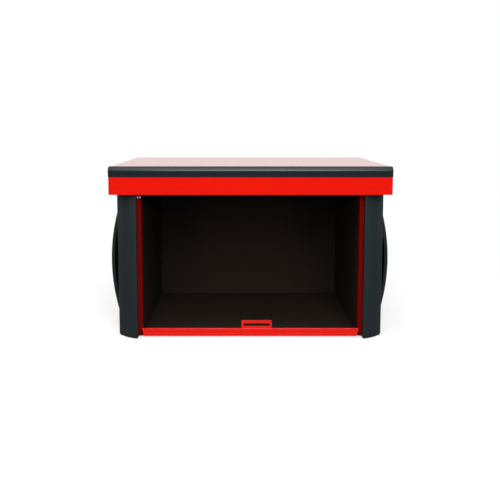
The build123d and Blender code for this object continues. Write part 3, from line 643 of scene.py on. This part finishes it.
def grip_ring(up, pocket, inset):
    """One level: along the outside from the back to the rim, round the rim, back along the
    pocket's inner wall, forward along its floor, and home along the steel. The rim is a
    thick lip, flat in the middle like a squared circle, and the lip runs out as the square
    of what is left of its run. Near the ends the front edge runs back on a quarter circle,
    which rounds the corners seen from the side."""
    run = np.linspace(0, 1, 30)
    past = max(abs(up) - GRIP_HALF_TALL + GRIP_CORNER, 0.0)
    front = GRIP_FRONT + GRIP_CORNER - np.sqrt(GRIP_CORNER**2 - past**2) + inset
    end = bow_end(up, inset, SIDE_OUT)
    y = end + (front + GRIP_RIM - end) * run
    outside = np.column_stack([bowed(y, up, inset), y])
    turn = np.linspace(0, np.pi if pocket else np.pi / 2, 9)[1:-1]
    outer_x, inner_x = outside[-1, 0], bowed(front + GRIP_RIM, up, GRIP_WALL) - GRIP_LIP
    half = (outer_x - inner_x) / 2
    rim_y = front + GRIP_RIM - GRIP_RIM * np.sqrt(np.sin(turn))
    rim = np.column_stack([outer_x - half + half * np.cos(turn), rim_y])
    floor_x = SIDE_OUT + GRIP_BASE
    start = front + GRIP_RIM if pocket else front
    back = bow_end(up, GRIP_WALL, floor_x) if pocket else front
    y = start + (back - start) * run
    first_x = inner_x if pocket else outer_x - half
    lip = GRIP_LIP * np.clip(1 - (y - start) / LIP_RUN, 0, 1) ** 2
    inside_x = bowed(y, up, GRIP_WALL) - lip if pocket else first_x + (floor_x - first_x) * run
    sill = np.array([(floor_x, front + 1), (floor_x - 1, front), (SIDE_OUT, front)])
    if not pocket:
        sill[0] = (floor_x - 0.5, front)
    return lifted(np.vstack([outside, rim, np.column_stack([inside_x, y]), sill]), GRIP_MIDDLE + up)


def grip_rings():
    """From the upper end to the lower one: a rounded end, the solid part where the shell runs
    thin, and the pocket between."""
    drawn, run_in = quarter_round(GRIP_END, 6)
    ends = [(GRIP_HALF_TALL - step, False, inset) for inset, step in zip(drawn, run_in)][:-1]
    ends += [(up, False, 0.0) for up in np.linspace(GRIP_HALF_TALL - GRIP_END, GRIP_POCKET_HALF, 24)]
    middle = [(up, True, 0.0) for up in np.linspace(GRIP_POCKET_HALF, -GRIP_POCKET_HALF, 41)]
    levels = ends + middle + [(-up, pocket, inset) for up, pocket, inset in ends[::-1]]
    return np.stack([grip_ring(*level) for level in levels])


for side, place in SIDES:
    grip = skin(f"side_grip_skin_{side}", [place(grip_rings())])
    dress(grip, "chest", "anthracite_plastic", f"side_grip_{side}")

# %% [markdown]
# A plastic trim runs along the lid's front top edge. Its upper half slopes like a worn
# thumb edge, a thin bead catches the light below it, and the lower half drops straight
# down over the steel. The section is drawn once, in depth and height, and pulled along X.

# %% Lid trim
LID_HALF, LID_FRONT, LID_TOP, LID_BEND = 350.3, -219.5, 436.6, 8.0
TRIM_LIP, TRIM_LOW, TRIM_HALF, TRIM_END = -205.5, 412.0, 335.0, 351.0
TRIM_JOINT, TRIM_ROUND, TRIM_BEND_STEPS = 0.4, 3.0, 7
TRIM_SHOWN = [
    (TRIM_LIP, LID_TOP),
    (TRIM_LIP, 437.6),
    (-206.4, 438.0),
    (-213.5, 438.0),
    (-220.9, 431.3),
    (-221.4, 430.2),
    (-222.5, 427.5),
    (-222.4, 426.9),
    (-221.7, 426.3),
    (-220.3, 413.2),
    (-220.0, TRIM_LOW),
]
TRIM_SHOWN_CUTS = [0, 0.2, 0.4, 5.0, 0.5, 0.5, 0.3, 0.3, 0.4, 0.6, 0]
TRIM_WRAP = [(LID_FRONT, TRIM_LOW), (LID_FRONT, LID_TOP)]
TRIM_FILL = [(LID_FRONT, TRIM_LOW), (TRIM_LIP, TRIM_LOW)]


def trim_section(inner, inner_cuts):
    """The trim in depth and height: what shows, then how it lies on the lid."""
    return soften(TRIM_SHOWN + inner, TRIM_SHOWN_CUTS + inner_cuts, TRIM_BEND_STEPS)


def along_x(outline, x):
    """An outline in depth and height as one ring at this x, or at an x for each point."""
    return np.column_stack([np.broadcast_to(x, len(outline)), outline])


trim_wrap = trim_section(TRIM_WRAP, [0, LID_BEND])
trim_fill = trim_section(TRIM_FILL, [0, 0.01])
hidden_points = 1 + TRIM_BEND_STEPS
trim_shows = (np.arange(len(trim_wrap)) < len(trim_wrap) - hidden_points).astype(float)
trim = skin("lid_trim_skin", [np.stack([along_x(trim_wrap, x) for x in (-TRIM_HALF, TRIM_HALF)])])
dress(trim, "lid", "anthracite_plastic", "lid_trim", finish=trim_plastic)

# %% [markdown]
# The trim's two ends are separate caps with a hairline joint. Each closes the corner of the
# lid with a thin plate and rounds off its outer edges, so no steel corner can catch a sleeve.

# %% Trim end caps
JOINT_EDGE = 0.15


def cap_rings():
    """From the joint outwards: the wrapping section, then the filled end plate, drawn in as
    a quarter round towards the end."""
    drawn, run_in = quarter_round(TRIM_ROUND, 10)
    start = TRIM_HALF + TRIM_JOINT
    levels = [(start, trim_wrap, JOINT_EDGE), (start + JOINT_EDGE, trim_wrap, 0.0)]
    rounding = [(TRIM_END - step, inset) for inset, step in zip(drawn[::-1], run_in[::-1])]
    levels += [(x, trim_wrap, inset) for x, inset in rounding if x < LID_HALF]
    edge = np.interp(LID_HALF, [x for x, inset in rounding], [inset for x, inset in rounding])
    levels += [(LID_HALF, trim_wrap, edge), (LID_HALF, trim_fill, edge)]
    levels += [(x, trim_fill, inset) for x, inset in rounding if x > LID_HALF]
    return np.stack([along_x(draw_in(outline, trim_shows * inset), x) for x, outline, inset in levels])


for side, place in SIDES:
    cap = skin(f"trim_end_cap_skin_{side}", [place(cap_rings())])
    dress(cap, "lid", "anthracite_plastic", f"trim_end_cap_{side}", finish=trim_plastic)

# %% [markdown]
# The lid is one sheet of steel, folded down at the front and at both sides and open at the
# back. Each level of it is a thin U seen from above: round the outside from back to back,
# and home along the inside. Just under the top the inner line runs back to the rear edge,
# which turns the thin wall into the solid sheet of the top.

# %% Lid
LID_SHEET, LID_BACK, LID_LOW = 1.5, 222.5, 368.0
LID_UNDER = LID_TOP - LID_SHEET
SIDE_BEND, HEM, HEM_HIGH, PLAN_CORNER = 2.0, 0.5, 0.8, 1.5
CORNER_HOLD, TOP_HOLD = 3, 2


def bend_in(radius, z, under=0.0):
    """How far a bend has turned in at this height: radius minus the square root of radius^2
    less the climb^2. Under is the thickness of sheet between the bend's two faces."""
    climb = np.clip(z - (LID_TOP - radius), 0, radius - under)
    return radius - np.sqrt((radius - under) ** 2 - climb**2)


def lid_ring(z, filled):
    """One level of the lid, outside then inside. The lowest edge is drawn in as a small hem,
    and two points close behind each corner keep the long faces flat."""
    hem = HEM * max(1 - (z - LID_LOW) / HEM_HIGH, 0) ** 2
    x = LID_HALF - bend_in(SIDE_BEND, z) - hem
    y = LID_FRONT + bend_in(LID_BEND, z) + hem
    left = [(-x, LID_BACK), (-x, y + CORNER_HOLD), (-x, y), (CORNER_HOLD - x, y)]
    right = [(-across, back) for across, back in left[::-1]]
    outside = soften(left + right, [0, 0, PLAN_CORNER, 0, 0, PLAN_CORNER, 0, 0], steps=6)
    inner_x = min(LID_HALF - LID_SHEET + hem, x - 0.3)
    inner_y = LID_BACK if filled else LID_FRONT + bend_in(LID_BEND, z, LID_SHEET) - hem
    inside = [(inner_x, LID_BACK), (inner_x, inner_y), (-inner_x, inner_y), (-inner_x, LID_BACK)]
    return lifted(np.vstack([outside, inside]), z)


def lid_rings():
    """From the hem up the wall, round the bend and onto the top, with one more ring a
    little way in, so that the great flat face of the top takes no shading from the bend."""
    short = 1 - np.sin(np.linspace(0, np.pi / 2, 14))
    bends = np.r_[LID_TOP - LID_BEND * short, LID_TOP - SIDE_BEND * short[::3], LID_UNDER]
    hem = LID_LOW + np.array([0, 0.25, 0.625, 1, 1.5]) * HEM_HIGH
    heights = np.r_[hem, LID_TOP - LID_BEND - 0.5, np.unique(bends.round(6))]
    rings = [lid_ring(z, False) for z in heights if z <= LID_UNDER]
    rings += [lid_ring(z, True) for z in heights if z >= LID_UNDER]
    closer = 1 - TOP_HOLD / LID_HALF
    return np.stack(rings + [rings[-1] * (closer, closer, 1)])


lid = skin("lid_pan_skin", [lid_rings()], crease=30)
dress(lid, "lid", "red_paint", "lid_pan")

# %% [markdown]
# A bent sheet is a drawn line and the same line one thickness further in, with every bend
# rounded. The stiles beside the opening are such a sheet, folded four times: a return into
# the bay, the face, the slanting corner behind the post, and a lap on the side panel.

# %% Front stiles
STILE_EDGE, STILE_RETURN, STILE_LAP, SHEET = 273.5, -180.5, -151.0, 1.2
NOTCH_EDGE, NOTCH_HIGH, RETURN_HIGH = 279.5, 14.4, 368.8
BODY_LOW, BODY_HIGH = 3.4, 430.0


def folded(line, bend):
    """The section of a bent sheet. Each inner point is its corner, moved by the thickness
    times the mitre: the two unit normals added, over half the square of their sum."""
    line = np.array(line, float)
    way = np.diff(line, axis=0)
    way /= np.linalg.norm(way, axis=1, keepdims=True)
    left = np.column_stack([-way[:, 1], way[:, 0]])
    mitre = np.vstack([left[:1], left]) + np.vstack([left, left[-1:]])
    inside = line + SHEET * mitre * 2 / np.sum(mitre**2, axis=1, keepdims=True)
    middle = [bend] * (len(line) - 2)
    wider = [bend + SHEET / 2] * (len(line) - 2)
    return soften(np.vstack([line, inside[::-1]]), [0.2, *wider, 0.2, 0.2, *middle, 0.2], steps=7)


def pillar(outline, low, high, edge=0.25):
    """A section between two heights, with its end edges drawn in a little."""
    levels = [(low, edge), (low + edge, 0), (high - edge, 0), (high, edge)]
    return np.stack([lifted(draw_in(outline, inset), z) for z, inset in levels])


stile_back = [STEEL_CORNER, (SIDE_OUT - SHEET, STEEL_TURN), (SIDE_OUT - SHEET, STILE_LAP)]
stile_face = folded([(NOTCH_EDGE, STILE_FACE), *stile_back], bend=1.2)
stile_strip = [(STILE_EDGE, STILE_FACE), (NOTCH_EDGE + 0.02, STILE_FACE)]
stile_return = folded([(STILE_EDGE, STILE_RETURN), *stile_strip], bend=0.9)
stile_top = folded(stile_strip, bend=0.3)
# The stiles take the darker copy of the red: painted shade of their recess, not a different paint.
for side, place in SIDES:
    shells = [pillar(stile_face, BODY_LOW, BODY_HIGH), pillar(stile_return, NOTCH_HIGH, RETURN_HIGH)]
    shells.append(pillar(stile_top, RETURN_HIGH, BODY_HIGH, edge=0.01))
    stile = skin(f"front_stile_skin_{side}", [place(rings) for rings in shells], crease=30)
    dress(stile, "chest", "red_paint", f"front_stile_{side}", finish=painted_shade_red)

# %% [markdown]
# The bottom rail closes the opening below. Its foot is folded back on itself as a hem, which
# swells the face by a millimetre in a soft slope, and its top is folded in over a few
# millimetres. The ends are cut back at a slant near the floor, so that water runs out.

# %% Bottom front rail
RAIL_HEM, RAIL_FACE, RAIL_TOP, RAIL_IN = -199.7, -198.7, 23.0, -192.5
RAIL_HALF, RAIL_FOLD_HALF, NOTCH_FOOT, NOTCH_SLANT = 276.0, 273.0, (270.0, 2.4), 5 / 12
OVER_NOTCH, UNDER_NOTCH = NOTCH_HIGH + 0.05, NOTCH_HIGH - 0.05
RAIL_CORNERS = [
    (STILE_FACE, BODY_LOW),
    (RAIL_HEM, BODY_LOW),
    (RAIL_HEM, 9.0),
    (RAIL_FACE, 11.4),
    (RAIL_FACE, UNDER_NOTCH),
    (RAIL_FACE, OVER_NOTCH),
    (RAIL_FACE, RAIL_TOP),
    (STILE_FACE - 0.1, RAIL_TOP),
    (STILE_FACE + 0.1, RAIL_TOP),
    (RAIL_IN, RAIL_TOP),
    (RAIL_IN, RAIL_TOP - SHEET),
    (STILE_FACE, RAIL_TOP - SHEET),
    (STILE_FACE, OVER_NOTCH),
    (STILE_FACE, UNDER_NOTCH),
]
RAIL_CUTS = [0, 0.7, 1.6, 0.9, 0, 0, 0.9, 0, 0, 0.3, 0, 0, 0, 0]


def rail_rings():
    """The section at both ends, where each point has its own reach: the slant is a straight
    rise of x with z, the face above it is longer, and the fold at the top is shorter."""
    outline = soften(RAIL_CORNERS, RAIL_CUTS, steps=7)
    y, z = outline.T
    slant = NOTCH_FOOT[0] + (z - NOTCH_FOOT[1]) * NOTCH_SLANT
    reach = np.where(z < NOTCH_HIGH, slant, RAIL_HALF)
    reach = np.where(y > STILE_FACE + 0.05, RAIL_FOLD_HALF, reach)
    return np.stack([along_x(outline, side * reach) for side in (-1, 1)])


rail = skin("bottom_front_rail_skin", [rail_rings()], crease=30)
dress(rail, "chest", "red_paint", "bottom_front_rail")

# %% [markdown]
# The slotted tab is a punched plate. A plate with one slot is a ring, like a flattened
# bracelet: every point of the outer edge has a partner on the slot's edge, and the section
# between them is carried all the way round, front, edge, back and edge.

# %% Slotted tab
TAB_MIDDLE, TAB_HALF, TAB_LOW, TAB_HIGH, TAB_SHEET = 16.3, 38.75, 10.0, 43.8, 1.5
SLOT_HALF, SLOT_LOW, SLOT_HIGH, TAB_EDGE = 33.5, 28.9, 35.9, 0.25


def box_outline(half_wide, low, high, round_low, round_high):
    """A rectangle about x = 0 with rounded corners, from lower left and on to the right."""
    corners = [(-half_wide, low), (half_wide, low), (half_wide, high), (-half_wide, high)]
    return soften(corners, [round_low, round_low, round_high, round_high], steps=8)


def tab_rings():
    """Five loops a side: the plate's edge is rounded by drawing the loop in as the depth
    changes, first on the outer edge and then, after the back, on the slot's edge."""
    outer = box_outline(TAB_HALF, TAB_LOW, TAB_HIGH, 0.4, 3.0)
    slot = box_outline(SLOT_HALF, SLOT_LOW, SLOT_HIGH, 2.0, 2.0)
    depths = np.array([0, TAB_EDGE, TAB_SHEET - TAB_EDGE, TAB_SHEET])
    insets = np.array([TAB_EDGE, 0, 0, TAB_EDGE])
    loops = [lifted(draw_in(outer, inset), depth) for inset, depth in zip(insets, depths)]
    loops += [lifted(draw_in(slot, -inset), depth) for inset, depth in zip(insets, depths[::-1])]
    return np.stack(loops + loops[:1])[..., [0, 2, 1]] + (TAB_MIDDLE, STILE_FACE, 0)


tab = skin("hasp_tab_skin", [tab_rings()], crease=30)
dress(tab, "chest", "red_paint", "hasp_tab")

# %% [markdown]
# Rivets, screws, buffers, hinge barrels and gas struts are all turned: a profile of radius
# and length is carried round a line. Where a profile closes on itself it makes a ring with
# a hole through it, such as the eye at the end of a strut.


# %% Turned pieces
SPOKES, CORE = 28, 0.3


def turned(profile, centre, axis):
    """A profile of (radius, length) carried round the axis through centre: at each angle a
    point lies its length along the axis, and its radius times (cos, sin) across it."""
    radius, along = np.array(profile, float).T
    axis = np.array(axis, float) / np.linalg.norm(axis)
    first = np.cross(axis, (0, 0.6, 0.8))
    first /= np.linalg.norm(first)
    angle = np.linspace(0, 2 * np.pi, SPOKES, endpoint=False)[:, None]
    spokes = np.cos(angle) * first + np.sin(angle) * np.cross(axis, first)
    return np.array(centre) + along[:, None, None] * axis + radius[:, None, None] * spokes


def headed(radius, high, shank, deep, dimple=0.0):
    """The profile of a rivet: its shank, the flat under its head, a domed head, a dimple."""
    floor = high - dimple
    corners = [(CORE, -deep), (shank, -deep), (shank, 0), (radius, 0), (radius, 0.3 * high)]
    corners += [(0.72 * radius, high), (0.36 * radius, high), (0.26 * radius, floor), (CORE, floor)]
    cuts = [0, 0.2, 0, 0.15, 0.28 * high, 0.2 * radius, 0.08 * radius, 0.05 * radius, 0]
    return soften(corners, cuts, steps=5)


RIVET_DEPTHS, RIVET_HEIGHTS = (-131.5, 142.0), (40.0, 205.0, 345.0)
GRIP_DEPTHS, GRIP_HEIGHTS = (-82.5, -20.5), (98.0, 258.0)
RIVET_HEAD, RIVET_HIGH, RIVET_SHANK, SHANK_END = 5.5, 1.8, 2.4, 330.8
STILE_RIVETS_ACROSS, STILE_RIVET_HIGH = (-276.3, -282.3), 359.5
BUFFER_SPOTS = ((-250, -204), (250, -204), (-316, 203.8), (316, 203.8))
BUFFER_RADIUS, BUFFER_HIGH = 5.0, 4.7


def side_rivets(face, depths, heights, dimple):
    """Rivets along X on both sides of the chest, with their heads on the planes x = +-face."""
    profile = headed(RIVET_HEAD, RIVET_HIGH, RIVET_SHANK, face - SHANK_END, dimple)
    spots = [(y, z) for y in depths for z in heights]
    return [place(turned(profile, (face, y, z), (1, 0, 0))) for _, place in SIDES for y, z in spots]


post_rivets = skin("post_rivets_skin", side_rivets(POST_OUT, RIVET_DEPTHS, RIVET_HEIGHTS, 0.7))
dress(post_rivets, "chest", "black_plastic", "post_rivets")
grip_screws = skin("grip_screws_skin", side_rivets(SIDE_OUT + GRIP_BASE, GRIP_DEPTHS, GRIP_HEIGHTS, 1.1))
dress(grip_screws, "chest", "zinc_steel", "grip_screws")
stile_rivet = headed(2.3, 1.6, 1.2, 0.2)
spots = [(x, STILE_FACE, STILE_RIVET_HIGH) for x in STILE_RIVETS_ACROSS]
stile_rivets = skin("stile_rivets_skin", [turned(stile_rivet, spot, (0, -1, 0)) for spot in spots])
dress(stile_rivets, "chest", "zinc_steel", "stile_rivets", finish=painted_glint_rivet)
corners = [(CORE, 0), (BUFFER_RADIUS, 0), (BUFFER_RADIUS, BUFFER_HIGH), (CORE, BUFFER_HIGH)]
buffer = soften(corners, [0, 0.3, 1.6, 0], steps=6)
stood = [turned(buffer, (*spot, BODY_HIGH), (0, 0, 1)) for spot in BUFFER_SPOTS]
buffers = skin("lid_buffers_skin", stood)
dress(buffers, "chest", "black_rubber", "lid_buffers")

# %% [markdown]
# The hinge is a long piano hinge. Its barrels take turns: every second one is rolled from
# the leaf on the back panel, and those between from the leaf under the lid, so the two
# leaves turn about one pin. A rolled barrel shows a soft edge at each end.

# %% Hinge
HINGE_HALF, KNUCKLES, BARREL, PIN, GAP = 300.0, 15, 3.4, 1.85, 0.5
HINGE_Y, HINGE_Z, LEAF, REACH = 216.7, 431.7, 1.5, 28.0
KNUCKLE = 2 * HINGE_HALF / KNUCKLES
STRIP_EDGE, STRIP_END = 0.3, 0.2


def barrels(first):
    """Every second barrel from index first: a ring profile, closed on itself round the pin."""
    start, end = GAP / 2, KNUCKLE - GAP / 2
    corners = [(PIN, start), (BARREL, start), (BARREL, end), (PIN, end)]
    profile = soften(corners, [0.1, 0.4, 0.4, 0.1], steps=4)
    starts = -HINGE_HALF + KNUCKLE * np.arange(first, KNUCKLES, 2)
    closed = np.vstack([profile, profile[:1]])
    return [turned(closed, (x, HINGE_Y, HINGE_Z), (1, 0, 0)) for x in starts]


def strip(y, z, x_low, x_high):
    """A flat strip between two depths and two heights, with its edges rounded."""
    corners = [(y[0], z[0]), (y[1], z[0]), (y[1], z[1]), (y[0], z[1])]
    outline = soften(corners, [STRIP_EDGE] * 4, steps=3)
    levels = [(x_low, STRIP_END), (x_low + STRIP_END, 0), (x_high - STRIP_END, 0), (x_high, STRIP_END)]
    return np.stack([along_x(draw_in(outline, inset), x) for x, inset in levels])


def lugs(first, y, z):
    """The short strips that run from a leaf up to its own barrels."""
    starts = -HINGE_HALF + KNUCKLE * np.arange(first, KNUCKLES, 2)
    return [strip(y, z, x + GAP / 2, x + KNUCKLE - GAP / 2) for x in starts]


def leaf(first, flat, lug):
    """One leaf: its plate, the lugs up to its barrels, and the barrels."""
    return [strip(*flat, -HINGE_HALF, HINGE_HALF)] + lugs(first, *lug) + barrels(first)


clear = BARREL + 0.4
plate_y, plate_z = (BACK_OUT, BACK_OUT + LEAF), (HINGE_Z - REACH, HINGE_Z - clear)
body_leaf = leaf(0, (plate_y, plate_z), (plate_y, (plate_z[1] - 0.02, HINGE_Z)))
dress(skin("hinge_body_leaf_skin", body_leaf), "chest", "zinc_steel", "hinge_body_leaf")
plate_y, plate_z = (HINGE_Y - REACH, HINGE_Y - clear), (LID_UNDER - LEAF, LID_UNDER)
lid_leaf = leaf(1, (plate_y, plate_z), ((plate_y[1] - 0.02, HINGE_Y), plate_z))
dress(skin("hinge_lid_leaf_skin", lid_leaf), "lid", "zinc_steel", "hinge_lid_leaf")
hinge_rivet = headed(3.6, 1.4, 2.0, LEAF)
rivet_x = -HINGE_HALF + KNUCKLE * (np.arange(0, KNUCKLES, 2) + 0.5)
spots = [(x, BACK_OUT + LEAF, HINGE_Z - 0.66 * REACH) for x in rivet_x]
rivets = skin("hinge_rivets_skin", [turned(hinge_rivet, spot, (0, 1, 0)) for spot in spots])
dress(rivets, "chest", "zinc_steel", "hinge_rivets")

# %% [markdown]
# Two gas struts hold the lid up. Each is a painted tube with a rolled bead near its mouth,
# a ground rod that slides in it, and an eye at each end that turns on a stud.

# %% Gas struts
STRUT_X, STRUT_FOOT, STRUT_HEAD = 318.0, (10.0, 388.0), (170.0, 416.0)
STRUT_LONG = np.hypot(STRUT_HEAD[0] - STRUT_FOOT[0], STRUT_HEAD[1] - STRUT_FOOT[1])
STRUT_WAY = (0, STRUT_HEAD[0] - STRUT_FOOT[0], STRUT_HEAD[1] - STRUT_FOOT[1])
TUBE, GROOVE, BORE, MOUTH = 9.0, 8.2, 7.5, 4.05
ROD, PISTON, ROD_END = 4.0, 7.4, STRUT_LONG - 1
EYE, EYE_HALF, EYE_HOLE = 8.0, 5.0, 3.55
TUBE_CORNERS = [
    (MOUTH, 122),
    (MOUTH, 132),
    (TUBE, 132),
    (TUBE, 128.5),
    (GROOVE, 127.5),
    (GROOVE, 126),
    (TUBE, 125),
    (TUBE, 11),
    (CORE, 11),
    (CORE, 15),
    (BORE, 15),
    (BORE, 122),
]
TUBE_CUTS = [0, 0.3, 1.5, 0.4, 0.4, 0.4, 0.4, 1.5, 0, 0, 0, 0]
ROD_CORNERS = [(CORE, 28), (PISTON, 28), (PISTON, 36), (ROD, 36), (ROD, ROD_END), (CORE, ROD_END)]
NECK_CORNERS = [(CORE, 6.5), (ROD, 6.5), (ROD, 11.4), (CORE, 11.4)]
RING_CORNERS = [(EYE_HOLE, -EYE_HALF), (EYE, -EYE_HALF), (EYE, EYE_HALF), (EYE_HOLE, EYE_HALF)]
STUD_CORNERS = [(CORE, -EYE_HALF), *RING_CORNERS[1:3], (4.5, EYE_HALF), (4.5, 8), (CORE, 8)]
foot = (STRUT_X, *STRUT_FOOT)
head = (STRUT_X, *STRUT_HEAD)
tube = turned(soften(TUBE_CORNERS, TUBE_CUTS, steps=5), foot, STRUT_WAY)
eye = turned(soften(RING_CORNERS, [0.3, 0.9, 0.9, 0.3], steps=5), foot, (1, 0, 0))
neck = turned(soften(NECK_CORNERS, [0, 0.2, 0.2, 0], steps=3), foot, STRUT_WAY)
rod = turned(soften(ROD_CORNERS, [0, 0.5, 0.5, 0, 0.3, 0], steps=4), foot, STRUT_WAY)
stud_eye = turned(soften(STUD_CORNERS, [0, 0.9, 0.9, 0, 0.3, 0], steps=5), head, (1, 0, 0))
for side, place in SIDES:
    shells = [place(np.vstack([rings, rings[:1]])) for rings in (tube, eye)] + [place(neck)]
    cylinder = skin(f"strut_cylinder_skin_{side}", shells)
    dress(cylinder, f"strut_tube_{side}", "dark_paint", f"strut_cylinder_{side}")
    piston = skin(f"strut_rod_skin_{side}", [place(rod), place(stud_eye)])
    dress(piston, f"strut_piston_{side}", "chrome_rod", f"strut_rod_{side}")
